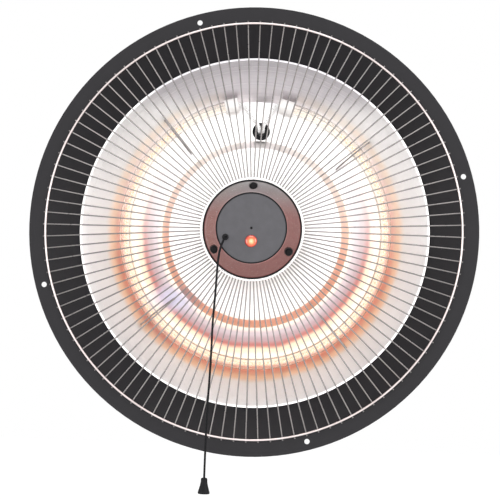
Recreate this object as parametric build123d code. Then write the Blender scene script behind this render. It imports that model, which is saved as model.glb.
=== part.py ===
from build123d import *
import os
from math import atan, cos, degrees, radians, sin, tan

# A hanging carbon heater: a flanged shade over a stepped reflector, one ring of quartz tube with its
# filament, a welded guard of radial wires, and a switch cap in the middle with a lens and a pull cord.
# The axis of the heater is Y. The warm face looks along -Y, the hanging eye is at the +Y end, and the
# heater is posed with its axis level, so the cord hangs along -Z. The origin is the middle of the front
# of the flange. "Depth" is a place along Y, more to the back is more. "Clock" is an angle about the
# axis in degrees, seen from the front, clockwise from the top.

# Driving dimensions, millimetres and degrees

rim_dia = 425.0
shade_gauge = 1.0
lip_depth = 4.0
flange_width = 15.5
throat_dia = 336.0
throat_depth = 26.0
shoulder_dia = 304.0
shoulder_depth = 68.0
crown_dia = 236.0
shade_depth = 88.0
rim_hole_dia = 5.0
rim_hole_edge = 8.2
rim_hole_count = 4
rim_hole_clock = -16.3

reflector_gauge = 0.8
hem_width = 1.8
bowl_dia = 288.0
bowl_depth = 43.0
well_dia = 260.0
well_depth = 60.0
floor_dia = 183.0
step_dia = 168.0
plateau_depth = 52.0

lamp_ring_dia = 253.6
lamp_depth = 48.0
tube_dia = 11.0
tube_bore = 8.6
tube_sides = 12
wire_sides = 4
ring_sides = 6
lamp_end_clock = 15.0
filament_width = 3.2
filament_thickness = 1.0
end_cap_dia = 13.4
end_cap_length = 13.0

lead_dia = 3.2
lead_spread = 4.0
lead_hole_dia = 14.0
lead_hole_radius = 101.0
lead_hole_clock = 1.3
lead_exit_edge = 7.0
lead_sides = 6
grommet_flange = 1.6
grommet_bore = 9.2

clip_wire_dia = 1.5
clip_count = 4
clip_clock = 49.5
clip_radius = 101.0
clip_seat = 8.0
clip_reach = 14.7
stand_off_dia = 9.0
stand_off_thread = 12.0

guard_wire_count = 108
guard_wire_dia = 1.5
guard_ring_dia = 393.4
guard_ring_wire = 2.8
guard_overhang = 2.4
guard_dome = 22.0
hub_dia = 97.2
hub_gauge = 1.2
hub_weld_length = 3.4
weld_sink = 0.3

column_dia = 64.0
column_gauge = 1.0
column_foot = 7.0
rod_dia = 8.0
rod_hole_dia = 8.6
nut_flats = 13.0
nut_height = 6.5
washer_dia = 16.0
washer_gauge = 1.6
thread_end = 2.0
spacer_dia = 36.0
spacer_wall = 1.5

cap_base_dia = 90.6
cap_front_dia = 67.2
cap_height = 22.5
cap_wall = 2.3
cap_lip = 0.7
cap_ledge_width = 4.4
cap_ledge_gauge = 1.5
face_groove = 1.3
face_gauge = 2.0
face_recess = 1.0
base_plate_gauge = 1.5
pocket_radius = 40.2
pocket_dia = 8.6
pocket_wall = 1.4
pocket_floor = 1.5
cap_screw_count = 3
screw_dia = 4.0
screw_hole_dia = 4.4
screw_head_dia = 7.6
screw_head_height = 2.6
small_nut_flats = 7.0
small_nut_height = 3.2

post_flats = 7.0
face_screw_dia = 2.4
face_screw_length = 8.0
lens_drop = 12.0
lens_dia = 9.3
lens_height = 2.6
lens_stem_dia = 6.8
indicator_dia = 8.4
indicator_length = 12.0
indicator_tab = 4.5

cord_x = -23.6
cord_z = -9.1
cord_dia = 2.0
cord_sides = 8
bush_bore = 2.8
bush_dia = 4.9
bush_flange_dia = 6.2
bush_flange = 0.6
bush_length = 3.0
bead_dia = 4.6
cord_travel = 8.0
lever_arm = 11.0
lever_width = 5.6
lever_gauge = 1.6
lever_hub_dia = 6.8
lever_slot = 2.8
lever_tail = 2.4
lever_play = 0.3
pin_dia = 3.0
pin_clearance = 0.05
pivot_depth_in_cap = 10.5
cheek_wall = 3.2
switch_top = 7.6
spring_dia = 6.4
spring_length = 2.4
knob_top_dia = 6.0
knob_bottom_dia = 10.8
knob_length = 14.5

harness_dia = 5.0
harness_hole_dia = 5.8
harness_radius = 12.6
harness_clock = 135.0

housing_dia = 140.0
housing_gauge = 1.2
housing_height = 45.0
housing_foot = 10.0
housing_screw_count = 3
housing_screw_clock = 60.0
vent_count = 12
vent_clock = 15.0
vent_width = 4.0
vent_length = 24.0
cover_gauge = 1.2
cover_skirt = 8.0
insulator_gap = 1.8
insulator_gauge = 2.0
terminal_length = 36.0
terminal_width = 16.0
terminal_height = 16.0
terminal_foot = 6.0
terminal_count = 3
terminal_hole_dia = 5.0
earth_screw_edge = 13.0
earth_screw_clock = 200.0
gland_radius = 46.0
gland_clock = 90.0
gland_thread_dia = 16.0
gland_bore = 8.0
gland_flats = 22.0
gland_hex_height = 5.0
gland_nut_length = 15.0
gland_tail = 9.0
lock_nut_height = 4.0

bracket_width = 24.0
bracket_gauge = 3.0
bracket_span = 40.0
bracket_foot = 18.0
bracket_height = 38.0
eye_dia = 10.0
bracket_bolt_dia = 6.0
bracket_nut_flats = 10.0
bracket_head_height = 4.0

fit_gap = 0.02
rest_gap = 0.3
hole_play = 0.6
small_round = 12.0
large_round = 40.0

# Places worked out from the driving dimensions

rim_r = rim_dia / 2
throat_r = throat_dia / 2
shoulder_r = shoulder_dia / 2
crown_r = crown_dia / 2
flange_r = rim_r - flange_width
rim_hole_r = rim_r - rim_hole_edge
shade_back = shade_depth + shade_gauge
lamp_r = lamp_ring_dia / 2
reflector_back = plateau_depth + reflector_gauge
floor_back = well_depth + reflector_gauge

hub_front = -guard_dome
hub_back = hub_front + hub_gauge
plate_front = hub_front - base_plate_gauge
column_r = column_dia / 2
column_foot_front = plateau_depth - column_gauge

cap_front = hub_front - cap_height
face_front = cap_front + face_recess
face_back = face_front + face_gauge
ledge_back = face_back + cap_ledge_gauge
face_r = cap_front_dia / 2 - cap_lip - face_groove
bush_front = face_front - bush_flange
pocket_floor_front = plate_front - pocket_floor

pivot_y = cap_front + pivot_depth_in_cap
pivot_z = cord_z + lever_arm
lever_swing = degrees(atan(cord_travel / 2 / lever_arm))
bead_y = pivot_y + cord_travel / 2 + (bead_dia / 2 + rest_gap + lever_gauge / 2) / cos(radians(lever_swing))

housing_inner_r = housing_dia / 2 - housing_gauge
housing_screw_radius = housing_inner_r - housing_foot / 2
insulator_r = housing_inner_r - housing_foot - insulator_gap
insulator_back = shade_back + insulator_gauge
earth_screw_radius = insulator_r - earth_screw_edge
lead_exit_radius = insulator_r - lead_exit_edge
terminal_front = insulator_back + terminal_foot
cover_front = shade_back + housing_height
cover_back = cover_front + cover_gauge
foot_back = cover_back + bracket_gauge
bridge_back = cover_back + bracket_height
rod_front = plate_front - nut_height - thread_end / 2
rod_back = cover_back + washer_gauge + nut_height + thread_end


def spot(radius, clock, depth):
    """Plane at a place on the heater: x outwards, y clockwise, z to the back."""
    a = radians(clock)
    return Plane(
        origin=(radius * sin(a), depth, radius * cos(a)),
        x_dir=(sin(a), 0, cos(a)),
        z_dir=(0, 1, 0),
    )


def ring_of(count, first_clock=0.0):
    """Clock angles of pieces that repeat evenly round the axis."""
    return [first_clock + 360 / count * k for k in range(count)]


def round_section(diameter):
    """Circle, or a many-sided polygon where the piece is small and only fastens or passes through."""
    if diameter > large_round:
        return Circle(diameter / 2)
    return RegularPolygon(diameter / 2, 12 if diameter <= small_round else 24)


def bar(place, diameter, length):
    """Bar of round section from the given plane to the back."""
    return place * extrude(round_section(diameter), length)


def true_bar(place, diameter, length):
    """Truly round bar, for mounts and for what slides or turns."""
    return place * extrude(Circle(diameter / 2), length)


def hexagon(place, flats, length):
    """Hexagon bar from the given plane to the back, one flat facing outwards."""
    return place * extrude(RegularPolygon(flats / 2, 6, major_radius=False, rotation=30), length)


def block(place, width_out, width_round, length):
    """Box centred on the given plane, which it stands on."""
    return place * extrude(Rectangle(width_out, width_round), length)


def turned(*corners):
    """Solid of revolution about the heater's axis, from (radius, depth) corners."""
    return revolve(make_face(Polyline(*corners, close=True)), Axis.Y)


def spun(gauge, side, *corners):
    """Spun sheet: the path is one face of the sheet, from (radius, depth) corners."""
    outline = Wire(Polyline(*corners).edges())
    section = Face(outline.offset_2d(gauge, kind=Kind.INTERSECTION, side=side, closed=True))
    return revolve(section, Axis.Y)


def soft_radii(points):
    """Bend radii as large as the straight runs beside each corner allow."""
    radii = []
    for before, corner, after in zip(points, points[1:], points[2:]):
        one = Vector(*corner) - Vector(*before)
        two = Vector(*after) - Vector(*corner)
        turn = radians(one.get_angle(two))
        radii.append(0.45 * min(one.length, two.length) / tan(turn / 2))
    return radii


def route(points):
    """Straight runs joined by tangent arcs."""
    return FilletPolyline(*points, radius=soft_radii(points))


def tube_along(path, section):
    """Section swept along a path, from the path's own start."""
    start = Plane(origin=path @ 0, z_dir=path % 0)
    return sweep(start * section, path=path)


def pan_screw(place, diameter, length, head_dia, head_height):
    """Pan-head screw: the plane is the seat of its head, the shank goes to the back."""
    head = Rot(180, 0, 0) * extrude(round_section(head_dia), head_height, taper=12)
    return place * (head + extrude(round_section(diameter), length))


def ringed_section(sides, across):
    """Regular polygon standing in for a circle on a long thin piece."""
    return RegularPolygon(across / 2, sides, major_radius=True)


def wall_radius(depth):
    """Inside radius of the shade's flared wall at a depth."""
    return flange_r - (flange_r - throat_r) * depth / throat_depth


def cap_radius(depth):
    """Outside radius of the cap's cone at a depth."""
    share = (depth - cap_front) / (hub_front - cap_front)
    return (cap_front_dia + (cap_base_dia - cap_front_dia) * share) / 2


# Shade and reflector


def make_shade():
    body = spun(
        shade_gauge,
        Side.RIGHT,
        (rim_r, lip_depth),
        (rim_r, 0),
        (flange_r, 0),
        (throat_r, throat_depth),
        (shoulder_r, shoulder_depth),
        (crown_r, shade_depth),
        (rod_hole_dia / 2, shade_depth),
    )
    for clock in ring_of(rim_hole_count, rim_hole_clock):
        body -= true_bar(spot(rim_hole_r, clock, -1), rim_hole_dia, shade_gauge + 2)
    for place in through_holes(shade_depth - 1):
        body -= bar(place, harness_hole_dia, shade_gauge + 2)
    body -= bar(spot(lead_exit_radius, lead_hole_clock, shade_depth - 1), grommet_bore, shade_gauge + 2)
    for clock in ring_of(clip_count, clip_clock):
        body -= bar(spot(clip_radius, clock, shade_depth - 1), screw_hole_dia, shade_gauge + 2)
    for clock in ring_of(housing_screw_count, housing_screw_clock):
        body -= bar(spot(housing_screw_radius, clock, shade_depth - 1), screw_hole_dia, shade_gauge + 2)
    earth = spot(earth_screw_radius, earth_screw_clock, shade_depth - 1)
    return body - bar(earth, screw_hole_dia, shade_gauge + 2)


def through_holes(depth):
    """Where the switch harness passes the plates of the middle stack."""
    return [spot(harness_radius, harness_clock, depth)]


def make_reflector():
    hem_front = throat_depth - reflector_gauge - rest_gap
    hem_r = wall_radius(throat_depth) - rest_gap
    body = spun(
        reflector_gauge,
        Side.RIGHT,
        (hem_r, hem_front),
        (hem_r - hem_width, hem_front),
        (bowl_dia / 2, bowl_depth),
        (well_dia / 2, well_depth),
        (floor_dia / 2, well_depth),
        (step_dia / 2, plateau_depth),
        (rod_hole_dia / 2, plateau_depth),
    )
    for place in through_holes(plateau_depth - 1):
        body -= bar(place, harness_hole_dia, reflector_gauge + 2)
    body -= bar(spot(lead_hole_radius, lead_hole_clock, well_depth - 1), lead_hole_dia, reflector_gauge + 2)
    for clock in ring_of(clip_count, clip_clock):
        body -= bar(spot(clip_radius, clock, well_depth - 1), clip_wire_dia + hole_play, reflector_gauge + 2)
    return body


def make_stand_offs():
    posts = []
    length = shade_depth - floor_back
    for clock in ring_of(clip_count, clip_clock):
        post = bar(spot(clip_radius, clock, floor_back), stand_off_dia, length)
        post -= bar(spot(clip_radius, clock, floor_back), clip_wire_dia + 2 * fit_gap, clip_seat)
        back = spot(clip_radius, clock, shade_depth - stand_off_thread)
        post -= bar(back, screw_dia + 2 * fit_gap, stand_off_thread)
        posts.append(post)
    return Compound(posts)


def make_stand_off_screws():
    screws = []
    for clock in ring_of(clip_count, clip_clock):
        place = spot(clip_radius, clock, shade_back) * Rot(180, 0, 0)
        length = shade_gauge + stand_off_thread - 1
        screws.append(pan_screw(place, screw_dia, length, screw_head_dia, screw_head_height))
    return Compound(screws)


# Lamp


def lamp_ring(section):
    """Section revolved from one end of the lamp to the other, the long way round."""
    start = Rot(0, lamp_end_clock, 0) * (Plane.YZ * Pos(lamp_depth, lamp_r) * section)
    return revolve(start, Axis.Y, 360 - 2 * lamp_end_clock)


def make_lamp_tube():
    ring = ringed_section(tube_sides, tube_dia) - ringed_section(tube_sides // 2, tube_bore)
    return lamp_ring(ring)


def make_filament():
    return lamp_ring(Rectangle(filament_thickness, filament_width))


def lamp_end(side):
    """Plane at a lamp end: z along the tube, away from it. Side is -1 on the left, +1 on the right."""
    clock = spot(lamp_r, side * lamp_end_clock, lamp_depth)
    return Plane(origin=clock.origin, x_dir=(0, 1, 0), z_dir=clock.y_dir * -side)


def make_end_caps():
    caps = [lamp_end(side) * extrude(Circle(end_cap_dia / 2), end_cap_length) for side in (-1, 1)]
    return Compound(caps)


def lead_points(side):
    """Route of one lamp lead, from its end cap through the grommet to the terminal block."""
    end = lamp_end(side)
    cap_end = end.origin + end.z_dir * end_cap_length
    first = cap_end + end.z_dir * (end_cap_length / 3)
    hole = spot(lead_hole_radius, lead_hole_clock, well_depth).origin
    shade_hole = spot(lead_exit_radius, lead_hole_clock, shade_depth).origin
    across = side * lead_spread / 2
    middle = (first + hole) * 0.5 + Vector(side * 1.5, -2.5, 1.5)
    return [
        tuple(cap_end),
        tuple(first),
        tuple(middle),
        (hole.X + across, well_depth - 8, hole.Z + 5),
        (hole.X + across, well_depth - 3, hole.Z),
        (hole.X + across, well_depth + 9, hole.Z - 0.5),
        (hole.X + across, shade_depth - 11, hole.Z - 12),
        (shade_hole.X + across, shade_depth - 7, shade_hole.Z + 8),
        (shade_hole.X + across, shade_depth - 2, shade_hole.Z),
        (shade_hole.X + across, terminal_front, shade_hole.Z),
    ]


def make_leads():
    paths = [route(lead_points(side)) for side in (-1, 1)]
    return Compound([tube_along(path, ringed_section(lead_sides, lead_dia)) for path in paths])


def make_grommet():
    front = well_depth - grommet_flange
    back = floor_back + grommet_flange
    place = spot(lead_hole_radius, lead_hole_clock, front)
    body = bar(place, lead_hole_dia + 2 * grommet_flange, back - front)
    groove = bar(spot(lead_hole_radius, lead_hole_clock, well_depth), lead_hole_dia * 2, reflector_gauge)
    groove -= bar(spot(lead_hole_radius, lead_hole_clock, well_depth), lead_hole_dia, reflector_gauge)
    return body - groove - bar(place, grommet_bore, back - front)


def make_clips():
    front = lamp_depth - tube_dia / 2 - clip_wire_dia / 2 - 0.2
    corners = [
        (clip_radius, floor_back + clip_seat - 1),
        (clip_radius, plateau_depth),
        (lamp_r - tube_dia / 2 - 2, front),
        (lamp_r + tube_dia / 2 + 1.5, front),
        (lamp_r + clip_reach, lamp_depth - 2.5),
    ]
    clips = []
    for clock in ring_of(clip_count, clip_clock):
        a = radians(clock)
        points = [(r * sin(a), depth, r * cos(a)) for r, depth in corners]
        path = Polyline(*points)
        start = Plane(origin=path @ 0, z_dir=path % 0)
        section = start * ringed_section(lead_sides, clip_wire_dia)
        clips.append(sweep(section, path=path, transition=Transition.RIGHT))
    return Compound(clips)


# Guard


def guard_wire_depth(radius):
    """Depth of the middle of a radial wire."""
    inner_r, outer_r = hub_dia / 2, guard_ring_dia / 2 + guard_overhang
    inner = hub_back + guard_wire_dia / 2 - weld_sink
    outer = -guard_wire_dia / 2 - rest_gap
    return inner + (outer - inner) * (radius - inner_r) / (outer_r - inner_r)


def make_guard():
    inner_r = hub_dia / 2 - hub_weld_length
    outer_r = guard_ring_dia / 2 + guard_overhang
    start = Vector(0, guard_wire_depth(inner_r), inner_r)
    end = Vector(0, guard_wire_depth(outer_r), outer_r)
    along = Plane(origin=start, x_dir=(1, 0, 0), z_dir=end - start)
    wire = extrude(along * ringed_section(wire_sides, guard_wire_dia), (end - start).length)
    ring_r = guard_ring_dia / 2
    drop = guard_wire_dia / 2 + guard_ring_wire / 2 - weld_sink
    middle = Pos(ring_r, guard_wire_depth(ring_r) - drop)
    ring = revolve(middle * ringed_section(ring_sides, guard_ring_wire), Axis.Y)
    hub = turned(
        (rod_hole_dia / 2, hub_front),
        (hub_dia / 2, hub_front),
        (hub_dia / 2, hub_back),
        (rod_hole_dia / 2, hub_back),
    )
    for clock in ring_of(cap_screw_count):
        hub -= bar(spot(pocket_radius, clock, hub_front), screw_hole_dia, hub_gauge)
    for place in through_holes(hub_front):
        hub -= bar(place, harness_hole_dia, hub_gauge)
    wires = [(Rot(0, clock, 0) * wire).solid() for clock in ring_of(guard_wire_count)]
    return ring.solid().fuse(hub.solid(), *wires)


# Middle stack


def make_column():
    body = spun(
        column_gauge,
        Side.LEFT,
        (rod_hole_dia / 2, hub_back),
        (column_r, hub_back),
        (column_r, column_foot_front),
        (column_r + column_foot, column_foot_front),
    )
    for place in through_holes(hub_back):
        body -= bar(place, harness_hole_dia, column_gauge)
    return body


def make_spacer():
    inner, outer = spacer_dia / 2 - spacer_wall, spacer_dia / 2
    return turned((inner, reflector_back), (outer, reflector_back), (outer, shade_depth), (inner, shade_depth))


def make_rod():
    return bar(spot(0, 0, rod_front), rod_dia, rod_back - rod_front)


def nut(place, flats, height, bore):
    return hexagon(place, flats, height) - bar(place, bore, height)


def make_front_nut():
    return nut(spot(0, 0, plate_front - nut_height), nut_flats, nut_height, rod_dia + 2 * fit_gap)


def make_rear_nuts():
    seats = (insulator_back + washer_gauge, cover_back + washer_gauge)
    return Compound([nut(spot(0, 0, seat), nut_flats, nut_height, rod_dia + 2 * fit_gap) for seat in seats])


def make_rear_washers():
    washers = []
    for seat in (insulator_back, cover_back):
        place = spot(0, 0, seat)
        washers.append(bar(place, washer_dia, washer_gauge) - bar(place, rod_hole_dia, washer_gauge))
    return Compound(washers)


def make_harness():
    front = plate_front - nut_height
    return bar(spot(harness_radius, harness_clock, front), harness_dia, insulator_back + nut_height - front)


# Switch cap


def make_base_plate():
    place = spot(0, 0, plate_front)
    radius = cap_radius(plate_front) - cap_wall - rest_gap
    body = bar(place, 2 * radius, base_plate_gauge) - bar(place, rod_hole_dia, base_plate_gauge)
    for clock in ring_of(cap_screw_count):
        body -= bar(spot(pocket_radius, clock, plate_front), screw_hole_dia, base_plate_gauge)
    for hole in through_holes(plate_front):
        body -= bar(hole, harness_hole_dia, base_plate_gauge)
    return body


def make_cap_shell():
    opening = cap_front_dia / 2 - cap_lip
    ledge_r = opening - cap_ledge_width
    shell = turned(
        (cap_base_dia / 2, hub_front),
        (cap_front_dia / 2, cap_front),
        (opening, cap_front),
        (opening, face_back),
        (ledge_r, face_back),
        (ledge_r, ledge_back),
        (cap_radius(ledge_back) - cap_wall, ledge_back),
        (cap_base_dia / 2 - cap_wall, hub_front),
    )
    cone = turned(
        (0, plate_front), (cap_radius(plate_front), plate_front), (cap_front_dia / 2, cap_front), (0, cap_front)
    )
    for clock in ring_of(cap_screw_count):
        place = spot(pocket_radius, clock, cap_front)
        tower = bar(place, pocket_dia + 2 * pocket_wall, plate_front - cap_front)
        shell += tower & cone
    for clock in ring_of(cap_screw_count):
        place = spot(pocket_radius, clock, cap_front)
        shell -= bar(place, pocket_dia, pocket_floor_front - cap_front)
        shell -= bar(place, screw_hole_dia, hub_front - cap_front)
    return shell


def make_face_plate():
    body = bar(spot(0, 0, face_front), 2 * face_r, face_gauge)
    body -= bar(spot(0, 0, face_front), face_screw_dia + 2 * pin_clearance, face_gauge)
    body -= true_bar(spot(lens_drop, 180, face_front), lens_stem_dia + 2 * pin_clearance, face_gauge)
    return body - bar(cord_place(face_front), bush_dia + 2 * fit_gap, face_gauge)


def make_cap_screws():
    screws = []
    length = plate_front - pocket_floor_front + base_plate_gauge + hub_gauge + small_nut_height + 1
    for clock in ring_of(cap_screw_count):
        place = spot(pocket_radius, clock, pocket_floor_front)
        screws.append(pan_screw(place, screw_dia, length, screw_head_dia, screw_head_height))
    return Compound(screws)


def make_cap_nuts():
    places = [spot(pocket_radius, clock, hub_back) for clock in ring_of(cap_screw_count)]
    bore = screw_dia + 2 * fit_gap
    return Compound([nut(place, small_nut_flats, small_nut_height, bore) for place in places])


def make_face_post():
    post = hexagon(spot(0, 0, face_back), post_flats, rod_front - face_back)
    return post - bar(spot(0, 0, face_back), face_screw_dia + 2 * fit_gap, face_screw_length)


def make_face_screw():
    front = face_front + 0.4
    return bar(spot(0, 0, front), face_screw_dia, face_back + face_screw_length - 1 - front)


def make_lens():
    lens_r, stem_r = lens_dia / 2, lens_stem_dia / 2
    stem_back = face_back + lens_height
    lens = turned(
        (0, face_front - lens_height),
        (lens_r * 0.5, face_front - lens_height * 0.85),
        (lens_r * 0.85, face_front - lens_height * 0.5),
        (lens_r, face_front),
        (stem_r, face_front),
        (stem_r, stem_back),
        (0, stem_back),
    )
    return Pos(0, 0, -lens_drop) * lens


def make_indicator():
    place = spot(lens_drop, 180, face_back)
    body = bar(place, indicator_dia, indicator_length)
    body -= true_bar(place, lens_stem_dia + 2 * fit_gap, lens_height)
    for side in (-1, 1):
        tab = spot(lens_drop, 180, face_back + indicator_length) * Pos(0, side * 2.2)
        body += block(tab, 2.4, 0.6, indicator_tab)
    return body


# Pull switch


def cord_place(depth):
    """Plane on the cord's line inside the cap."""
    return Plane(origin=(cord_x, depth, cord_z), x_dir=(1, 0, 0), z_dir=(0, 1, 0))


def make_bush():
    body = bar(cord_place(bush_front), bush_flange_dia, bush_flange)
    body += bar(cord_place(face_front), bush_dia, bush_length)
    return body - true_bar(cord_place(bush_front), bush_bore, bush_flange + bush_length)


def pivot_bar(diameter, length, start):
    """Bar along the lever's pivot, from a distance beside the cord."""
    place = Plane(origin=(cord_x + start, pivot_y, pivot_z), x_dir=(0, 1, 0), z_dir=(1, 0, 0))
    return place * extrude(Circle(diameter / 2), length)


def make_switch_body():
    slot = lever_width + 2 * lever_play
    width = slot + 2 * cheek_wall
    bottom = pivot_z - lever_hub_dia / 2 - 0.6
    top = pivot_z + lever_hub_dia / 2 + switch_top
    front = pivot_y - lever_hub_dia / 2 - 1.6
    body = Box(width, plate_front - front, top - bottom, align=(Align.CENTER, Align.MIN, Align.MIN))
    gap_top = pivot_z + lever_hub_dia / 2 + 2 * lever_play
    gap = Box(slot, plate_front - front - base_plate_gauge, gap_top - bottom,
              align=(Align.CENTER, Align.MIN, Align.MIN))
    body = Pos(cord_x, front, bottom) * (body - gap)
    return body - pivot_bar(pin_dia + 2 * fit_gap, width, -width / 2)


def make_switch_pin():
    width = lever_width + 2 * lever_play + 2 * cheek_wall
    return pivot_bar(pin_dia, width + spring_length + 1, -width / 2)


def make_lever_spring():
    start = lever_width / 2 + lever_play + cheek_wall
    return pivot_bar(spring_dia, spring_length, start) - pivot_bar(pin_dia + 2 * fit_gap, spring_length, start)


def make_lever():
    hub = pivot_bar(lever_hub_dia, lever_width, -lever_width / 2)
    reach = lever_arm + lever_tail
    arm = Pos(cord_x, pivot_y, pivot_z) * Box(lever_width, lever_gauge, reach,
                                            align=(Align.CENTER, Align.CENTER, Align.MAX))
    slot_top = lever_arm - lever_slot / 2 - 0.4
    slot = Pos(cord_x, pivot_y, pivot_z - slot_top) * Box(lever_slot, lever_gauge, reach,
                                                        align=(Align.CENTER, Align.CENTER, Align.MAX))
    body = hub + arm - slot - pivot_bar(pin_dia + 2 * pin_clearance, lever_width, -lever_width / 2)
    pivot = Axis((cord_x, pivot_y, pivot_z), (1, 0, 0))
    return body.rotate(pivot, lever_swing)


# Cord


def make_bead():
    half = bead_dia / 2
    waist = cord_place(bead_y) * extrude(RegularPolygon(half, 12), half / 2, both=True)
    ends = [Rot(turn, 0, 0) * extrude(RegularPolygon(half, 12), half / 2, taper=40) for turn in (0, 180)]
    front, back = cord_place(bead_y - half / 2) * ends[1], cord_place(bead_y + half / 2) * ends[0]
    hole = bar(cord_place(bead_y - bead_dia), cord_dia + 2 * fit_gap, 2 * bead_dia)
    return waist + front + back - hole


def make_cord_stub():
    return true_bar(cord_place(bush_front), cord_dia - 2 * fit_gap, bead_y + bead_dia / 2 - bush_front)


def cord_points():
    """The cord's free stretch, from the bush to the top of the knob. It bends down and hangs plumb."""
    hang = bush_front - 12.9
    return [
        (cord_x, bush_front, cord_z),
        (cord_x, bush_front - 5.4, cord_z),
        (cord_x - 1.2, bush_front - 9.6, cord_z - 3.9),
        (cord_x - 3.4, hang + 0.9, cord_z - 9.9),
        (cord_x - 5.0, hang, cord_z - 19.0),
        (cord_x - 5.8, hang - 0.3, cord_z - 33.0),
        (cord_x - 6.5, hang - 0.1, cord_z - 53.0),
        (cord_x - 8.1, hang + 0.1, cord_z - 77.0),
        (cord_x - 8.3, hang + 0.2, cord_z - 101.0),
        (cord_x - 8.9, hang + 0.1, cord_z - 125.0),
        (cord_x - 10.0, hang + 0.1, cord_z - 150.0),
        (cord_x - 10.4, hang, cord_z - 175.0),
        (cord_x - 10.7, hang, cord_z - 198.0),
        (cord_x - 10.7, hang, cord_z - 219.4),
    ]


def make_pull_cord():
    points = cord_points()
    path = route(points)
    body = tube_along(path, ringed_section(cord_sides, cord_dia))
    print("cord bend radii", [round(r, 1) for r in soft_radii(points)])
    area = ringed_section(cord_sides, cord_dia).area
    print("cord volume", round(body.volume, 1), "section times length", round(area * path.length, 1))
    return body


def make_knob():
    top = cord_points()[-1]
    half_top, half_bottom = knob_top_dia / 2, knob_bottom_dia / 2
    waist = half_top + (half_bottom - half_top) * 0.35
    outline = Polyline(
        (0, 0, 0),
        (half_top, 0, 0),
        (half_top, 0, -knob_length * 0.2),
        (waist, 0, -knob_length * 0.55),
        (half_bottom, 0, -knob_length * 0.88),
        (half_bottom, 0, -knob_length),
        (0, 0, -knob_length),
        close=True,
    )
    return Pos(*top) * revolve(make_face(outline), Axis.Z)


# Back of the heater


def make_housing():
    wall = spun(
        housing_gauge,
        Side.RIGHT,
        (housing_inner_r - housing_foot, shade_back + housing_gauge),
        (housing_inner_r, shade_back + housing_gauge),
        (housing_inner_r, cover_front),
    )
    middle = (shade_back + cover_front - cover_skirt) / 2 + 1
    for clock in ring_of(vent_count, vent_clock):
        slot = spot(housing_dia / 2, clock, middle - vent_length / 2)
        wall -= block(slot, 6 * housing_gauge, vent_width, vent_length)
    for clock in ring_of(housing_screw_count, housing_screw_clock):
        hole = spot(housing_screw_radius, clock, shade_back)
        wall -= bar(hole, screw_hole_dia, housing_gauge)
    return wall


def make_housing_screws():
    screws = []
    for clock in ring_of(housing_screw_count, housing_screw_clock):
        place = spot(housing_screw_radius, clock, shade_back + housing_gauge) * Rot(180, 0, 0)
        length = housing_gauge + shade_gauge + 4
        screws.append(pan_screw(place, screw_dia, length, screw_head_dia, screw_head_height))
    return Compound(screws)


def make_cover():
    body = spun(
        cover_gauge,
        Side.RIGHT,
        (housing_dia / 2 + rest_gap, cover_front - cover_skirt),
        (housing_dia / 2 + rest_gap, cover_front),
        (rod_hole_dia / 2, cover_front),
    )
    body -= bar(spot(gland_radius, gland_clock, cover_front), gland_thread_dia + 2 * fit_gap, cover_gauge)
    for place in bracket_bolt_places(cover_front):
        body -= bar(place, bracket_bolt_dia + hole_play, cover_gauge)
    return body


def make_insulator():
    place = spot(0, 0, shade_back)
    body = bar(place, 2 * insulator_r, insulator_gauge) - bar(place, rod_hole_dia, insulator_gauge)
    for hole in through_holes(shade_back):
        body -= bar(hole, harness_hole_dia, insulator_gauge)
    body -= bar(spot(lead_exit_radius, lead_hole_clock, shade_back), grommet_bore, insulator_gauge)
    return body - bar(spot(earth_screw_radius, earth_screw_clock, shade_back), screw_hole_dia, insulator_gauge)


def make_terminal_block():
    lead = spot(lead_exit_radius, lead_hole_clock, shade_back).origin
    body = Pos(lead.X, terminal_front, lead.Z) * Box(
        terminal_length, terminal_height, terminal_width, align=(Align.CENTER, Align.MIN, Align.CENTER)
    )
    for side in (-1, 1):
        foot = Pos(lead.X + side * (terminal_length - terminal_foot) / 2, insulator_back, lead.Z)
        body += foot * Box(terminal_foot, terminal_front - insulator_back, terminal_width,
                           align=(Align.CENTER, Align.MIN, Align.CENTER))
    for place in terminal_places():
        body -= bar(place, terminal_hole_dia, -terminal_height / 2)
    return body


def terminal_places():
    """Mouths of the terminal block's screw wells, on its back."""
    lead = spot(lead_exit_radius, lead_hole_clock, terminal_front + terminal_height).origin
    pitch = terminal_length / terminal_count
    shift = (terminal_count - 1) / 2
    return [
        Plane(origin=(lead.X + pitch * (k - shift), lead.Y, lead.Z), x_dir=(1, 0, 0), z_dir=(0, 1, 0))
        for k in range(terminal_count)
    ]


def make_terminal_screws():
    length = terminal_height / 2 - 1.5
    diameter = terminal_hole_dia - 2 * fit_gap
    wells = [place * Pos(0, 0, -terminal_height / 2) for place in terminal_places()]
    return Compound([bar(well, diameter, length) for well in wells])


def make_earth_screw():
    place = spot(earth_screw_radius, earth_screw_clock, insulator_back) * Rot(180, 0, 0)
    length = insulator_gauge + shade_gauge + 4
    return pan_screw(place, screw_dia, length, screw_head_dia, screw_head_height)


def gland_place(depth):
    return spot(gland_radius, gland_clock, depth)


def make_gland_body():
    body = bar(gland_place(cover_back - cover_gauge - gland_tail), gland_thread_dia, gland_tail + cover_gauge)
    body += hexagon(gland_place(cover_back), gland_flats, gland_hex_height)
    body += bar(gland_place(cover_back + gland_hex_height), gland_thread_dia - 2, gland_nut_length / 2)
    return body - true_bar(gland_place(cover_front - gland_tail - 1), gland_bore, gland_tail + gland_nut_length * 2)


def make_gland_nut():
    front = cover_back + gland_hex_height
    body = hexagon(gland_place(front), gland_flats, gland_nut_length * 0.6)
    body += gland_place(front + gland_nut_length * 0.6) * extrude(
        Circle(gland_flats / 2 - 1), gland_nut_length * 0.4, taper=35
    )
    body -= bar(gland_place(front), gland_thread_dia - 2 + 2 * fit_gap, gland_nut_length / 2 + fit_gap)
    return body - true_bar(gland_place(front), gland_bore, gland_nut_length)


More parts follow.
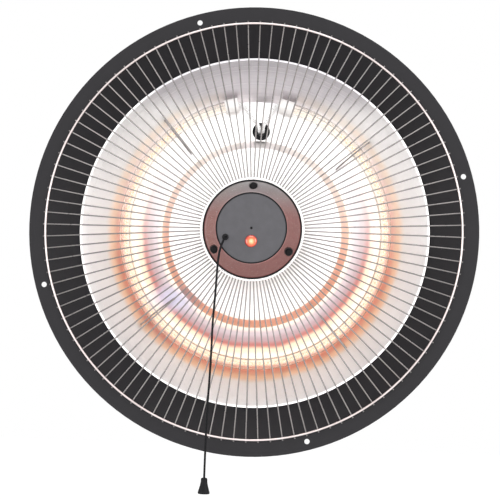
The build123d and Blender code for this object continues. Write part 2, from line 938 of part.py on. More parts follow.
def make_gland_lock_nut():
    place = gland_place(cover_front - lock_nut_height)
    return nut(place, gland_flats, lock_nut_height, gland_thread_dia + 2 * fit_gap)


def bracket_bolt_places(depth):
    """Planes of the bracket's two bolts, above and below the axis."""
    middle = bracket_span / 2 + bracket_foot / 2
    return [spot(middle, clock, depth) for clock in (0, 180)]


def make_bracket():
    half, out = bracket_span / 2, bracket_span / 2 + bracket_foot
    corners = [
        (cover_back, -out), (cover_back, -half + bracket_gauge),
        (bridge_back - bracket_gauge, -half + bracket_gauge),
        (bridge_back - bracket_gauge, half - bracket_gauge),
        (cover_back, half - bracket_gauge), (cover_back, out),
        (foot_back, out), (foot_back, half), (bridge_back, half), (bridge_back, -half),
        (foot_back, -half), (foot_back, -out),
    ]
    strap = Plane.YZ * make_face(Polyline(*corners, close=True))
    body = extrude(strap, bracket_width / 2, both=True)
    body = fillet(body.edges().filter_by(Axis.X).group_by(Axis.Y)[-1], bracket_gauge)
    body -= true_bar(spot(0, 0, bridge_back - bracket_gauge), eye_dia, bracket_gauge)
    for place in bracket_bolt_places(cover_back):
        body -= bar(place, bracket_bolt_dia + hole_play, bracket_gauge)
    return body


def make_bracket_bolts():
    bolts = []
    for place in bracket_bolt_places(foot_back):
        head = hexagon(place, bracket_nut_flats, bracket_head_height)
        depth = bracket_gauge + cover_gauge + bracket_head_height + thread_end
        bolts.append(head + place * extrude(round_section(bracket_bolt_dia), -depth))
    return Compound(bolts)


def make_bracket_nuts():
    nuts = []
    for place in bracket_bolt_places(cover_front - bracket_head_height):
        nuts.append(nut(place, bracket_nut_flats, bracket_head_height, bracket_bolt_dia + 2 * fit_gap))
    return Compound(nuts)


pieces = {
    "shade": make_shade,
    "reflector": make_reflector,
    "stand_offs": make_stand_offs,
    "stand_off_screws": make_stand_off_screws,
    "lamp_tube": make_lamp_tube,
    "lamp_filament": make_filament,
    "lamp_end_caps": make_end_caps,
    "lamp_leads": make_leads,
    "lead_grommet": make_grommet,
    "lamp_clips": make_clips,
    "guard": make_guard,
    "centre_column": make_column,
    "centre_spacer": make_spacer,
    "tie_rod": make_rod,
    "front_nut": make_front_nut,
    "rear_nuts": make_rear_nuts,
    "rear_washers": make_rear_washers,
    "switch_harness": make_harness,
    "cap_base_plate": make_base_plate,
    "cap_shell": make_cap_shell,
    "cap_face_plate": make_face_plate,
    "cap_screws": make_cap_screws,
    "cap_nuts": make_cap_nuts,
    "face_post": make_face_post,
    "face_screw": make_face_screw,
    "indicator_lens": make_lens,
    "indicator_body": make_indicator,
    "cord_bush": make_bush,
    "switch_body": make_switch_body,
    "switch_pin": make_switch_pin,
    "lever_spring": make_lever_spring,
    "switch_lever": make_lever,
    "cord_bead": make_bead,
    "cord_stub": make_cord_stub,
    "pull_cord": make_pull_cord,
    "cord_knob": make_knob,
    "rear_housing": make_housing,
    "housing_screws": make_housing_screws,
    "rear_cover": make_cover,
    "insulating_disc": make_insulator,
    "terminal_block": make_terminal_block,
    "terminal_screws": make_terminal_screws,
    "earth_screw": make_earth_screw,
    "gland_body": make_gland_body,
    "gland_dome_nut": make_gland_nut,
    "gland_lock_nut": make_gland_lock_nut,
    "hanging_bracket": make_bracket,
    "bracket_bolts": make_bracket_bolts,
    "bracket_nuts": make_bracket_nuts,
}

os.makedirs("parts", exist_ok=True)
for name, make in pieces.items():
    export_step(make(), f"parts/{name}.step")
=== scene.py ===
from math import cos, pi, radians, sin

import bmesh
import bpy
from mathutils import Matrix, Vector


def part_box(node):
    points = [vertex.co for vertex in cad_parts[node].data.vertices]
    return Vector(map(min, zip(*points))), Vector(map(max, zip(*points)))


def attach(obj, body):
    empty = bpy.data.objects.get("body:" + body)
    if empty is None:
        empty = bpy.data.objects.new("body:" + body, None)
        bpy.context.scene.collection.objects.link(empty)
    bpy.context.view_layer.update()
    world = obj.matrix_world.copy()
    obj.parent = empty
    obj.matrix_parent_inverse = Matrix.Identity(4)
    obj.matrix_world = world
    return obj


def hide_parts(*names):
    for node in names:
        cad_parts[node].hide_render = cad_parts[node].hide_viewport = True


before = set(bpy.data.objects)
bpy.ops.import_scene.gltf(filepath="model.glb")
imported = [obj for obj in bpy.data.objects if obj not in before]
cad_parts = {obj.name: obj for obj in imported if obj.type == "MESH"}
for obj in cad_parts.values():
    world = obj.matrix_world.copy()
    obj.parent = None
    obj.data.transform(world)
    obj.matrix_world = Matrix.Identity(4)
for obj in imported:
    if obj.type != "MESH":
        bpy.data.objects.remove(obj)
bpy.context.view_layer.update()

# Dresses the hanging carbon heater. The heater's axis is Y, its warm face looks along -Y, and +Z is up.
# A clock angle is measured about the axis in degrees, seen from the front, clockwise from the top.

bl_info = {
    "name": "Hanging Carbon Heater",
    "version": (1, 0, 0),
    "blender": (4, 5, 0),
    "location": "View3D > Sidebar > Heater",
    "description": "Builds and finishes a hanging carbon heater with its guard, ring lamp and pull cord",
    "category": "Object",
}

MM = 0.001


def node_span(node, axis):
    """Lowest and highest value of a CAD node along one axis, in metres."""
    low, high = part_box(node)
    return low[axis], high[axis]


REFLECTOR_RADIUS = node_span("reflector", 0)[1]
HUB_FRONT = node_span("guard", 1)[0]
LENS_FRONT, LENS_BACK = node_span("indicator_lens", 1)

# Places that several pieces share. A depth is a place along Y, behind the rim where it is above 0.
CENTRE_BORE = 4.3 * MM
TROUGH_DEPTH = 60 * MM
LEAD_HOLE = 7 * MM
LEAD_HOLE_RADIUS = 101 * MM
LEAD_HOLE_CLOCK = 1.3
TUBE_END_CLOCK = 15
CLIP_CLOCK = 49.5
CLIP_COUNT = 4


class HeaterSizes(bpy.types.PropertyGroup):
    """Sizes that a user would change."""

    wire: bpy.props.FloatProperty(
        name="Guard wire", description="Diameter of a radial wire", default=1.3 * MM, unit="LENGTH")
    wire_count: bpy.props.IntProperty(
        name="Guard wires", description="Number of radial wires", default=108, min=12)
    ring_wire: bpy.props.FloatProperty(
        name="Ring wire", description="Diameter of the guard's outer ring wire",
        default=1.9 * MM, unit="LENGTH")
    ring_radius: bpy.props.FloatProperty(
        name="Ring radius", description="Middle radius of the guard's outer ring",
        default=196.7 * MM, unit="LENGTH")
    hub_radius: bpy.props.FloatProperty(
        name="Hub radius", description="Radius of the guard's hub plate", default=48.6 * MM, unit="LENGTH")
    lamp_radius: bpy.props.FloatProperty(
        name="Lamp radius", description="Middle radius of the lamp's ring", default=126.8 * MM, unit="LENGTH")
    lamp_depth: bpy.props.FloatProperty(
        name="Lamp depth", description="Depth of the lamp behind the rim", default=48 * MM, unit="LENGTH")
    tube: bpy.props.FloatProperty(
        name="Lamp tube", description="Outer diameter of the quartz tube", default=11 * MM, unit="LENGTH")
    tube_bore: bpy.props.FloatProperty(
        name="Tube bore", description="Inner diameter of the quartz tube", default=8.6 * MM, unit="LENGTH")
    coil: bpy.props.FloatProperty(
        name="Filament coil", description="Diameter of the filament's coil", default=3.2 * MM, unit="LENGTH")
    coil_pitch: bpy.props.FloatProperty(
        name="Coil pitch", description="Distance between two turns of the filament",
        default=3.9 * MM, unit="LENGTH")
    coil_wire: bpy.props.FloatProperty(
        name="Coil wire", description="Diameter of the filament's strand", default=0.62 * MM, unit="LENGTH")
    cord: bpy.props.FloatProperty(
        name="Pull cord", description="Diameter of the pull cord", default=2 * MM, unit="LENGTH")


class HeaterColours(bpy.types.PropertyGroup):
    """Colours and light that a user would change."""

    paint: bpy.props.FloatVectorProperty(
        name="Paint", description="Colour of the shade", subtype="COLOR", size=3,
        default=(0.011, 0.010, 0.012))
    reflector: bpy.props.FloatVectorProperty(
        name="Reflector", description="Colour of the spun sheet", subtype="COLOR", size=3,
        default=(0.98, 0.97, 0.965))
    wire: bpy.props.FloatVectorProperty(
        name="Wire", description="Colour of the guard", subtype="COLOR", size=3, default=(0.25, 0.235, 0.23))
    # The cap's colour is a painted reflection of the lamp's glow on the dark cone, not the plastic's own
    # colour.
    cap: bpy.props.FloatVectorProperty(
        name="Cap", description="Colour of the cap's cone", subtype="COLOR", size=3,
        default=(0.180, 0.058, 0.052))
    face: bpy.props.FloatVectorProperty(
        name="Cap face", description="Colour of the cap's face", subtype="COLOR", size=3,
        default=(0.062, 0.060, 0.067))
    lens: bpy.props.FloatVectorProperty(
        name="Lens", description="Colour of the lit lens", subtype="COLOR", size=3,
        default=(0.85, 0.16, 0.055))
    glow: bpy.props.FloatVectorProperty(
        name="Glow", description="Colour of the hot filament", subtype="COLOR", size=3,
        default=(1.0, 0.60, 0.35))
    glow_strength: bpy.props.FloatProperty(
        name="Glow strength", description="How brightly the filament glows", default=1.1, min=0.0)


class StageSettings(bpy.types.PropertyGroup):
    """Camera and light of the studio."""

    distance: bpy.props.FloatProperty(
        name="Distance", description="Camera to the middle of the rim", default=1.6, unit="LENGTH")
    azimuth: bpy.props.FloatProperty(
        name="Azimuth", description="Camera to the right of the axis", default=radians(2.2), subtype="ANGLE")
    elevation: bpy.props.FloatProperty(
        name="Elevation", description="Camera above the axis", default=radians(-3.3), subtype="ANGLE")
    roll: bpy.props.FloatProperty(
        name="Roll", description="Lean of the camera", default=radians(2.0), subtype="ANGLE")
    lens: bpy.props.FloatProperty(
        name="Lens", description="Focal length for a 36 mm sensor, in millimetres", default=122.1, min=10.0)
    aim: bpy.props.FloatVectorProperty(
        name="Aim", description="Point in the middle of the picture", subtype="TRANSLATION", size=3,
        default=(-2.3 * MM, 0.0, -18.3 * MM))
    key: bpy.props.FloatProperty(
        name="Softboxes", description="Power of each side softbox", default=14.0, min=0.0)
    fill: bpy.props.FloatProperty(
        name="Fill", description="Strength of the even white light", default=0.72, min=0.0)


# Materials


def blank(name):
    """New material, its tree, its shader and the object coordinates."""
    material = bpy.data.materials.new(name)
    material.use_nodes = True
    tree = material.node_tree
    shader = tree.nodes["Principled BSDF"]
    place = tree.nodes.new("ShaderNodeTexCoord").outputs["Object"]
    return material, tree, shader, place


def grain(tree, place, scale, detail=4.0, stretch=(1, 1, 1)):
    """Noise in the object's own coordinates."""
    mapping = tree.nodes.new("ShaderNodeMapping")
    mapping.inputs["Scale"].default_value = stretch
    tree.links.new(place, mapping.inputs["Vector"])
    noise = tree.nodes.new("ShaderNodeTexNoise")
    noise.inputs["Scale"].default_value = scale
    noise.inputs["Detail"].default_value = detail
    tree.links.new(mapping.outputs["Vector"], noise.inputs["Vector"])
    return noise.outputs["Fac"]


def spread(tree, factor, low, high):
    """Factor from 0 to 1 turned into a value between low and high."""
    ranged = tree.nodes.new("ShaderNodeMapRange")
    ranged.inputs["From Min"].default_value = 0.3
    ranged.inputs["From Max"].default_value = 0.7
    ranged.inputs["To Min"].default_value = low
    ranged.inputs["To Max"].default_value = high
    tree.links.new(factor, ranged.inputs["Value"])
    return ranged.outputs["Result"]


def shades(tree, factor, colour, change):
    """Factor from 0 to 1 turned into a darker and a lighter shade of a colour."""
    ramp = tree.nodes.new("ShaderNodeValToRGB")
    low, high = ramp.color_ramp.elements
    low.position, high.position = 0.35, 0.65
    low.color = [c * (1 - change) for c in colour] + [1]
    high.color = [min(c * (1 + change), 1) for c in colour] + [1]
    tree.links.new(factor, ramp.inputs["Fac"])
    return ramp.outputs["Color"]


def bump(tree, shader, factor, height, distance=0.0003):
    """Fine relief on the surface."""
    relief = tree.nodes.new("ShaderNodeBump")
    relief.inputs["Strength"].default_value = height
    relief.inputs["Distance"].default_value = distance
    tree.links.new(factor, relief.inputs["Height"])
    tree.links.new(relief.outputs["Normal"], shader.inputs["Normal"])


def grained(name, colour, metallic, roughness, scale, height, change=0.06, sheen=0.5, coat=0.0):
    """Finish with its own grain, in colour, gloss and relief. Sheen is how strongly it mirrors."""
    material, tree, shader, place = blank(name)
    fine = grain(tree, place, scale)
    broad = grain(tree, place, scale / 14, 2.0)
    tree.links.new(shades(tree, broad, colour, change), shader.inputs["Base Color"])
    tree.links.new(spread(tree, fine, roughness * 0.85, min(roughness * 1.18, 1)), shader.inputs["Roughness"])
    shader.inputs["Metallic"].default_value = metallic
    shader.inputs["Specular IOR Level"].default_value = sheen
    shader.inputs["Coat Weight"].default_value = coat
    bump(tree, shader, fine, height)
    return material


def axis_radius(tree, place):
    """Distance from the heater's axis, as a vector along X for ring-shaped grain."""
    split = tree.nodes.new("ShaderNodeSeparateXYZ")
    tree.links.new(place, split.inputs[0])
    length = tree.nodes.new("ShaderNodeVectorMath")
    length.operation = "LENGTH"
    flat = tree.nodes.new("ShaderNodeCombineXYZ")
    tree.links.new(split.outputs["X"], flat.inputs["X"])
    tree.links.new(split.outputs["Z"], flat.inputs["Z"])
    tree.links.new(flat.outputs[0], length.inputs[0])
    out = tree.nodes.new("ShaderNodeCombineXYZ")
    tree.links.new(length.outputs["Value"], out.inputs["X"])
    return out.outputs[0]


def spun_aluminium(colour):
    """Bright spun sheet: fine rings from the spinning tool and a soft blur, with painted reflections of the
    lamp's glow, a painted grey shade at its top and a painted cool reflection at its lower left.
    """
    material, tree, shader, place = blank("spun_aluminium")
    radius = axis_radius(tree, place)
    rings = grain(tree, radius, 900.0, 3.0)
    cloud = grain(tree, place, 26.0, 3.0)
    # Painted reflection: warm rings of the lit filament multiplied onto the sheet's colour, strongest at the
    # bottom.
    painted_glow_tint = tree.nodes.new("ShaderNodeMix")
    painted_glow_tint.data_type = "RGBA"
    painted_glow_tint.blend_type = "MULTIPLY"
    tree.links.new(painted_glow_share(tree, place), painted_glow_tint.inputs["Factor"])
    tree.links.new(shades(tree, cloud, colour, 0.02), painted_glow_tint.inputs["A"])
    tree.links.new(painted_glow_bands(tree, radius, cloud), painted_glow_tint.inputs["B"])
    # Painted shade: lilac grey multiplied over the top of the sheet, where the lamp's gap leaves it unlit.
    shade = tree.nodes.new("ShaderNodeMix")
    shade.data_type = "RGBA"
    shade.blend_type = "MULTIPLY"
    shade.inputs["B"].default_value = (0.60, 0.575, 0.62, 1)
    tree.links.new(painted_top_shade_share(tree, place, rings), shade.inputs["Factor"])
    tree.links.new(painted_cool_reflection(tree, place, painted_glow_tint.outputs["Result"]), shade.inputs["A"])
    tree.links.new(shade.outputs["Result"], shader.inputs["Base Color"])
    tree.links.new(spread(tree, rings, 0.26, 0.40), shader.inputs["Roughness"])
    shader.inputs["Metallic"].default_value = 1.0
    bump(tree, shader, rings, 0.12, 0.0002)
    return material


BAND_REACH = 170 * MM
BAND_WANDER = 6 * MM
# Painted reflections on the reflector: rings of the lit filament's glow and of the dark parts around it;
# radius in millimetres, and the colour there
PAINTED_GLOW_BANDS = (
    (0.0, (1.00, 0.99, 0.99)), (74.0, (1.00, 0.97, 0.96)),
    (80.0, (1.00, 0.90, 0.86)), (87.0, (0.93, 0.70, 0.60)),
    (92.0, (0.98, 0.80, 0.66)), (98.0, (0.56, 0.46, 0.48)),
    (104.0, (0.44, 0.31, 0.32)), (109.0, (0.46, 0.18, 0.16)),
    (114.0, (0.97, 0.66, 0.48)), (120.0, (1.00, 0.88, 0.72)),
    (127.0, (1.00, 0.94, 0.90)), (133.0, (0.80, 0.38, 0.30)),
    (139.0, (0.98, 0.74, 0.60)), (145.0, (1.00, 0.95, 0.93)),
    (157.0, (1.00, 0.96, 0.95)), (167.0, (1.00, 0.98, 0.98)),
)


def painted_glow_bands(tree, radius, cloud):
    """Painted reflection of the lit filament: soft peach and rose rings on the sheet, and darker rings of the
    dark parts around, with slightly wandering edges.
    """
    split = tree.nodes.new("ShaderNodeSeparateXYZ")
    tree.links.new(radius, split.inputs[0])
    wander = tree.nodes.new("ShaderNodeMath")
    wander.operation = "MULTIPLY_ADD"
    wander.inputs[1].default_value = BAND_WANDER
    tree.links.new(cloud, wander.inputs[0])
    tree.links.new(split.outputs["X"], wander.inputs[2])
    share = tree.nodes.new("ShaderNodeMapRange")
    share.inputs["From Min"].default_value = BAND_WANDER / 2
    share.inputs["From Max"].default_value = BAND_WANDER / 2 + BAND_REACH
    tree.links.new(wander.outputs[0], share.inputs["Value"])
    ramp = tree.nodes.new("ShaderNodeValToRGB")
    ramp.color_ramp.interpolation = "EASE"
    stops = ramp.color_ramp.elements
    for k, (place, colour) in enumerate(PAINTED_GLOW_BANDS):
        stop = stops[k] if k < 2 else stops.new(place * MM / BAND_REACH)
        stop.position = place * MM / BAND_REACH
        stop.color = (*colour, 1)
    tree.links.new(share.outputs["Result"], ramp.inputs["Fac"])
    return ramp.outputs["Color"]


def height_share(tree, place, first, last, least=0.0):
    """Smooth share from least at one height to 1 at another."""
    split = tree.nodes.new("ShaderNodeSeparateXYZ")
    tree.links.new(place, split.inputs[0])
    share = tree.nodes.new("ShaderNodeMapRange")
    share.interpolation_type = "SMOOTHSTEP"
    share.inputs["From Min"].default_value = first
    share.inputs["From Max"].default_value = last
    share.inputs["To Min"].default_value = least
    tree.links.new(split.outputs["Z"], share.inputs["Value"])
    return share.outputs["Result"]


def painted_glow_share(tree, place):
    """How much of the painted glow reflection shows: all at the bottom, and little at the lamp's gap at the
    top.
    """
    return height_share(tree, place, 125 * MM, -60 * MM, 0.05)


def painted_top_shade_share(tree, place, rings):
    """Painted shade where the sheet looks past the lamp's gap: the top is multiplied down to grey, with
    brushed streaks.
    """
    streaks = tree.nodes.new("ShaderNodeMath")
    streaks.operation = "MULTIPLY"
    tree.links.new(height_share(tree, place, 112 * MM, 138 * MM), streaks.inputs[0])
    tree.links.new(spread(tree, rings, 0.55, 1.0), streaks.inputs[1])
    return streaks.outputs[0]


def painted_cool_reflection(tree, place, warm):
    """The sheet's colour with a painted reflection: cool blue-grey mixed in over an oval at its lower left.
    """
    offset = tree.nodes.new("ShaderNodeVectorMath")
    offset.operation = "SUBTRACT"
    offset.inputs[1].default_value = (-78 * MM, 0, -66 * MM)
    tree.links.new(place, offset.inputs[0])
    lean = tree.nodes.new("ShaderNodeMapping")
    lean.inputs["Rotation"].default_value = (0, radians(-48), 0)
    lean.inputs["Scale"].default_value = (1.0, 1.0, 2.2)
    tree.links.new(offset.outputs[0], lean.inputs["Vector"])
    distance = tree.nodes.new("ShaderNodeSeparateXYZ")
    tree.links.new(axis_radius(tree, lean.outputs["Vector"]), distance.inputs[0])
    share = tree.nodes.new("ShaderNodeMapRange")
    share.interpolation_type = "SMOOTHSTEP"
    share.inputs["From Min"].default_value = 40 * MM
    share.inputs["From Max"].default_value = 8 * MM
    share.inputs["To Max"].default_value = 0.8
    tree.links.new(distance.outputs["X"], share.inputs["Value"])
    mix = tree.nodes.new("ShaderNodeMix")
    mix.data_type = "RGBA"
    mix.inputs["B"].default_value = (0.52, 0.50, 0.62, 1)
    tree.links.new(share.outputs["Result"], mix.inputs["Factor"])
    tree.links.new(warm, mix.inputs["A"])
    return mix.outputs["Result"]


def cap_plastic(colour):
    """Glossy dark plastic with a painted reflection of the lamp's glow: rose-brown below, greyer towards its
    top, where the lamp's gap leaves less glow to reflect.
    """
    material, tree, shader, place = blank("cap_gloss")
    # Painted reflection: the glow's rose-brown fades to grey towards the top.
    fade = tree.nodes.new("ShaderNodeMix")
    fade.data_type = "RGBA"
    fade.inputs["B"].default_value = (0.20, 0.18, 0.18, 1)
    tree.links.new(height_share(tree, place, 8 * MM, 44 * MM), fade.inputs["Factor"])
    tree.links.new(shades(tree, grain(tree, place, 240.0), colour, 0.05), fade.inputs["A"])
    tree.links.new(fade.outputs["Result"], shader.inputs["Base Color"])
    fine = grain(tree, place, 900.0)
    tree.links.new(spread(tree, fine, 0.20, 0.28), shader.inputs["Roughness"])
    shader.inputs["Coat Weight"].default_value = 0.3
    bump(tree, shader, fine, 0.02)
    return material


def quartz_glass():
    """Clear quartz with a faint milky drag along it."""
    material, tree, shader, place = blank("quartz_glass")
    drag = grain(tree, place, 60.0)
    tree.links.new(spread(tree, drag, 0.02, 0.09), shader.inputs["Roughness"])
    shader.inputs["Base Color"].default_value = (1.0, 0.97, 0.93, 1)
    shader.inputs["Transmission Weight"].default_value = 1.0
    shader.inputs["IOR"].default_value = 1.46
    bump(tree, shader, drag, 0.04)
    return material


def hot_filament(colour, strength):
    """Glowing carbon strand, hotter in the middle of its fibres."""
    material, tree, shader, place = blank("hot_filament")
    fibre = grain(tree, place, 900.0)
    tree.links.new(shades(tree, fibre, colour, 0.22), shader.inputs["Emission Color"])
    shader.inputs["Base Color"].default_value = (0.25, 0.10, 0.05, 1)
    shader.inputs["Roughness"].default_value = 0.8
    shader.inputs["Emission Strength"].default_value = strength
    return material


def lit_lens(colour):
    """Glossy moulded lens with the lamp behind it lit. Its colour ramp is partly the lens's own lit colour
    and partly a painted highlight: pale yellow a little right of and below the middle, dark red at the rim.
    """
    material, tree, shader, place = blank("lit_lens")
    low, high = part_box("indicator_lens")
    offset = tree.nodes.new("ShaderNodeVectorMath")
    offset.operation = "SUBTRACT"
    offset.inputs[1].default_value = ((low[0] + high[0]) / 2 + 0.5 * MM, 0, (low[2] + high[2]) / 2 - 0.4 * MM)
    tree.links.new(place, offset.inputs[0])
    radius = tree.nodes.new("ShaderNodeSeparateXYZ")
    tree.links.new(axis_radius(tree, offset.outputs[0]), radius.inputs[0])
    share = tree.nodes.new("ShaderNodeMapRange")
    share.inputs["From Max"].default_value = (high[0] - low[0]) / 2 + 1.2 * MM
    tree.links.new(radius.outputs["X"], share.inputs["Value"])
    # Painted highlight: the ramp runs from pale yellow at the shifted middle through orange to dark red at
    # the rim.
    ramp = tree.nodes.new("ShaderNodeValToRGB")
    stops = ramp.color_ramp.elements
    stops[0].color = (1.0, 0.62, 0.34, 1)
    stops[1].color = (0.24, 0.016, 0.012, 1)
    stops.new(0.28).color = (1.0, 0.40, 0.16, 1)
    stops.new(0.50).color = (*colour, 1)
    stops.new(0.80).color = (0.62, 0.07, 0.035, 1)
    tree.links.new(share.outputs["Result"], ramp.inputs["Fac"])
    fade = tree.nodes.new("ShaderNodeMix")
    fade.data_type = "RGBA"
    fade.blend_type = "MULTIPLY"
    fade.inputs["Factor"].default_value = 0.5
    tree.links.new(ramp.outputs["Color"], fade.inputs["A"])
    tree.links.new(shades(tree, grain(tree, place, 420.0), (1.0, 1.0, 1.0), 0.25), fade.inputs["B"])
    tree.links.new(fade.outputs["Result"], shader.inputs["Base Color"])
    tree.links.new(fade.outputs["Result"], shader.inputs["Emission Color"])
    shader.inputs["Emission Strength"].default_value = 0.12
    shader.inputs["Roughness"].default_value = 0.10
    shader.inputs["Coat Weight"].default_value = 0.8
    return material


def braided(name, colour, pitch, sheen):
    """Braid of two crossing sets of strands round a cord."""
    material, tree, shader, place = blank(name)
    waves = []
    for lean in (0.9, -0.9):
        mapping = tree.nodes.new("ShaderNodeMapping")
        mapping.inputs["Rotation"].default_value = (lean, lean * 0.6, lean)
        tree.links.new(place, mapping.inputs["Vector"])
        wave = tree.nodes.new("ShaderNodeTexWave")
        wave.inputs["Scale"].default_value = 1 / pitch / 6.3
        wave.inputs["Distortion"].default_value = 0.4
        tree.links.new(mapping.outputs["Vector"], wave.inputs["Vector"])
        waves.append(wave.outputs["Fac"])
    cross = tree.nodes.new("ShaderNodeMath")
    cross.operation = "MAXIMUM"
    tree.links.new(waves[0], cross.inputs[0])
    tree.links.new(waves[1], cross.inputs[1])
    tree.links.new(shades(tree, cross.outputs[0], colour, 0.35), shader.inputs["Base Color"])
    shader.inputs["Roughness"].default_value = 0.78
    shader.inputs["Specular IOR Level"].default_value = sheen
    bump(tree, shader, cross.outputs[0], 0.6, 0.0002)
    return material


FINISHES = {}


def make_finishes(colours):
    """Every finish of the heater, once."""
    paint, cap = tuple(colours.paint), tuple(colours.cap)
    FINISHES.update(
        satin_paint=grained("satin_paint", paint, 0.0, 0.48, 900.0, 0.10, sheen=0.26),
        aluminium=spun_aluminium(tuple(colours.reflector)),
        bright_wire=grained("bright_wire", tuple(colours.wire), 1.0, 0.30, 500.0, 0.05),
        ring_wire=grained("ring_wire", (0.70, 0.62, 0.61), 1.0, 0.34, 500.0, 0.04),
        hub_rim=grained("hub_rim", (0.92, 0.90, 0.89), 1.0, 0.25, 500.0, 0.04),
        plated_steel=grained("plated_steel", (0.58, 0.57, 0.55), 1.0, 0.34, 420.0, 0.06),
        black_steel=grained("black_steel", (0.010, 0.009, 0.010), 0.2, 0.50, 500.0, 0.06, sheen=0.15),
        cap_gloss=cap_plastic(cap),
        cap_matt=grained("cap_matt", tuple(colours.face), 0.0, 0.55, 1600.0, 0.12),
        nylon=grained("nylon", (0.62, 0.58, 0.51), 0.0, 0.45, 500.0, 0.05),
        black_moulding=grained("black_moulding", (0.009, 0.009, 0.010), 0.0, 0.42, 900.0, 0.08, sheen=0.16),
        black_rubber=grained("black_rubber", (0.006, 0.006, 0.007), 0.0, 0.50, 700.0, 0.10, sheen=0.14),
        white_ceramic=grained("white_ceramic", (0.90, 0.87, 0.85), 0.0, 0.50, 380.0, 0.06, 0.03),
        brass=grained("brass", (0.72, 0.50, 0.20), 1.0, 0.30, 400.0, 0.05),
        mica=grained("mica", (0.46, 0.38, 0.27), 0.0, 0.55, 260.0, 0.20, 0.20),
        glass_sleeve=braided("glass_sleeve", (0.90, 0.86, 0.83), 0.8 * MM, 0.5),
        cord_braid=braided("cord_braid", (0.006, 0.006, 0.007), 0.7 * MM, 0.15),
        quartz=quartz_glass(),
        filament=hot_filament(tuple(colours.glow), colours.glow_strength),
        lens=lit_lens(tuple(colours.lens)),
    )


CAD_FINISHES = {
    "satin_paint": ["shade", "rear_housing", "rear_cover"],
    "aluminium": ["centre_column"],
    "plated_steel": [
        "stand_offs", "centre_spacer", "tie_rod", "front_nut", "rear_nuts", "rear_washers", "cap_base_plate",
        "cap_nuts", "switch_pin", "lever_spring", "hanging_bracket", "bracket_bolts", "bracket_nuts",
        "earth_screw",
    ],
    "black_steel": ["stand_off_screws", "cap_screws", "face_screw", "housing_screws"],
    "cap_gloss": ["cap_shell"],
    "cap_matt": ["cap_face_plate"],
    "nylon": ["switch_body", "switch_lever"],
    "black_moulding": [
        "indicator_body", "cord_bush", "cord_bead", "gland_body", "gland_dome_nut", "gland_lock_nut",
    ],
    "black_rubber": ["lead_grommet"],
    "white_ceramic": ["lamp_end_caps", "terminal_block"],
    "brass": ["face_post", "terminal_screws"],
    "mica": ["insulating_disc"],
    "glass_sleeve": ["switch_harness"],
    "cord_braid": ["cord_stub"],
}


# Shapes


def clock_point(radius, clock, depth):
    """Place on the heater from its radius, clock angle and depth, in metres."""
    a = radians(clock)
    return Vector((radius * sin(a), depth, radius * cos(a)))


def place_piece(data, name, finish, body, nodes):
    """Adds a piece to the scene, finished and riding on its body."""
    piece = bpy.data.objects.new(name, data)
    bpy.context.scene.collection.objects.link(piece)
    data.materials.append(FINISHES[finish])
    if nodes:
        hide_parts(*nodes)
    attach(piece, body)
    return piece


def lathe(profile, steps, turn="Y"):
    """Closed profile of (radius, place along the axis) corners turned round the Y or Z axis."""
    corners, faces = [], []
    count = len(profile)
    for k in range(steps):
        a = 2 * pi * k / steps
        for radius, along in profile:
            if turn == "Y":
                corners.append((radius * sin(a), along, radius * cos(a)))
            else:
                corners.append((radius * sin(a), radius * cos(a), along))
    for k in range(steps):
        here, there = k * count, (k + 1) % steps * count
        for n in range(count):
            m = (n + 1) % count
            faces.append((here + n, here + m, there + m, there + n))
    return corners, faces


def turned_mesh(name, profile, steps=192, turn="Y", soft=35):
    """Mesh of a turned piece, smooth but for its sharp edges."""
    corners, faces = lathe(profile, steps, turn)
    mesh = bpy.data.meshes.new(name)
    mesh.from_pydata(corners, [], faces)
    mesh.validate()
    weld(mesh)
    mesh.shade_smooth()
    mesh.set_sharp_from_angle(angle=radians(soft))
    return mesh


def weld(mesh):
    """Merges corners that meet on the axis, and turns every face outwards."""
    work = bmesh.new()
    work.from_mesh(mesh)
    bmesh.ops.remove_doubles(work, verts=work.verts, dist=1e-7)
    bmesh.ops.dissolve_degenerate(work, edges=work.edges, dist=1e-8)
    bmesh.ops.recalc_face_normals(work, faces=work.faces)
    work.to_mesh(mesh)
    work.free()


def sheet_profile(points, gauge):
    """Outline of a sheet whose front follows the points, thickened to the back and outwards."""
    back = []
    for k, point in enumerate(points):
        normals = []
        for a, b in ((k - 1, k), (k, k + 1)):
            if a >= 0 and b < len(points):
                run = Vector(points[b]) - Vector(points[a])
                normals.append(Vector((-run.y, run.x)).normalized() * -1)
        normal = sum(normals, Vector((0, 0))).normalized()
        lean = normal.dot(normals[0])
        back.append(tuple(Vector(point) + normal * gauge / lean))
    return list(points) + back[::-1]


def wire_curve(name, routes, diameter, closed=False, kind="POLY", sides=3):
    """Curve with one round wire for each route of points."""
    curve = bpy.data.curves.new(name, "CURVE")
    curve.dimensions = "3D"
    curve.bevel_depth = diameter / 2
    curve.bevel_resolution = sides
    curve.use_fill_caps = not closed
    for route in routes:
        spline = curve.splines.new(kind)
        spline.points.add(len(route) - 1)
        for point, place in zip(spline.points, route):
            point.co = (*place, 1)
        spline.use_cyclic_u = closed
        if kind == "NURBS":
            spline.order_u = 3
            spline.use_endpoint_u = not closed
            spline.resolution_u = 12
    return curve


def arc_points(radius, depth, first, last, step):
    """Points along a circle about the axis, from one clock angle to another."""
    count = max(2, round(abs(last - first) / step))
    return [clock_point(radius, first + (last - first) * k / count, depth) for k in range(count + 1)]


# Operators, one for each piece or group of like pieces


class HEATER_OT_finishes(bpy.types.Operator):
    """Makes the finishes and puts them on the pieces kept from the CAD model"""

    bl_idname = "heater.finishes"
    bl_label = "Finishes"

    def execute(self, context):
        make_finishes(context.scene.heater_colours)
        for finish, nodes in CAD_FINISHES.items():
            for node in nodes:
                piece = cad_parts[node]
                for slot in piece.material_slots:
                    slot.material = FINISHES[finish]
        return {"FINISHED"}


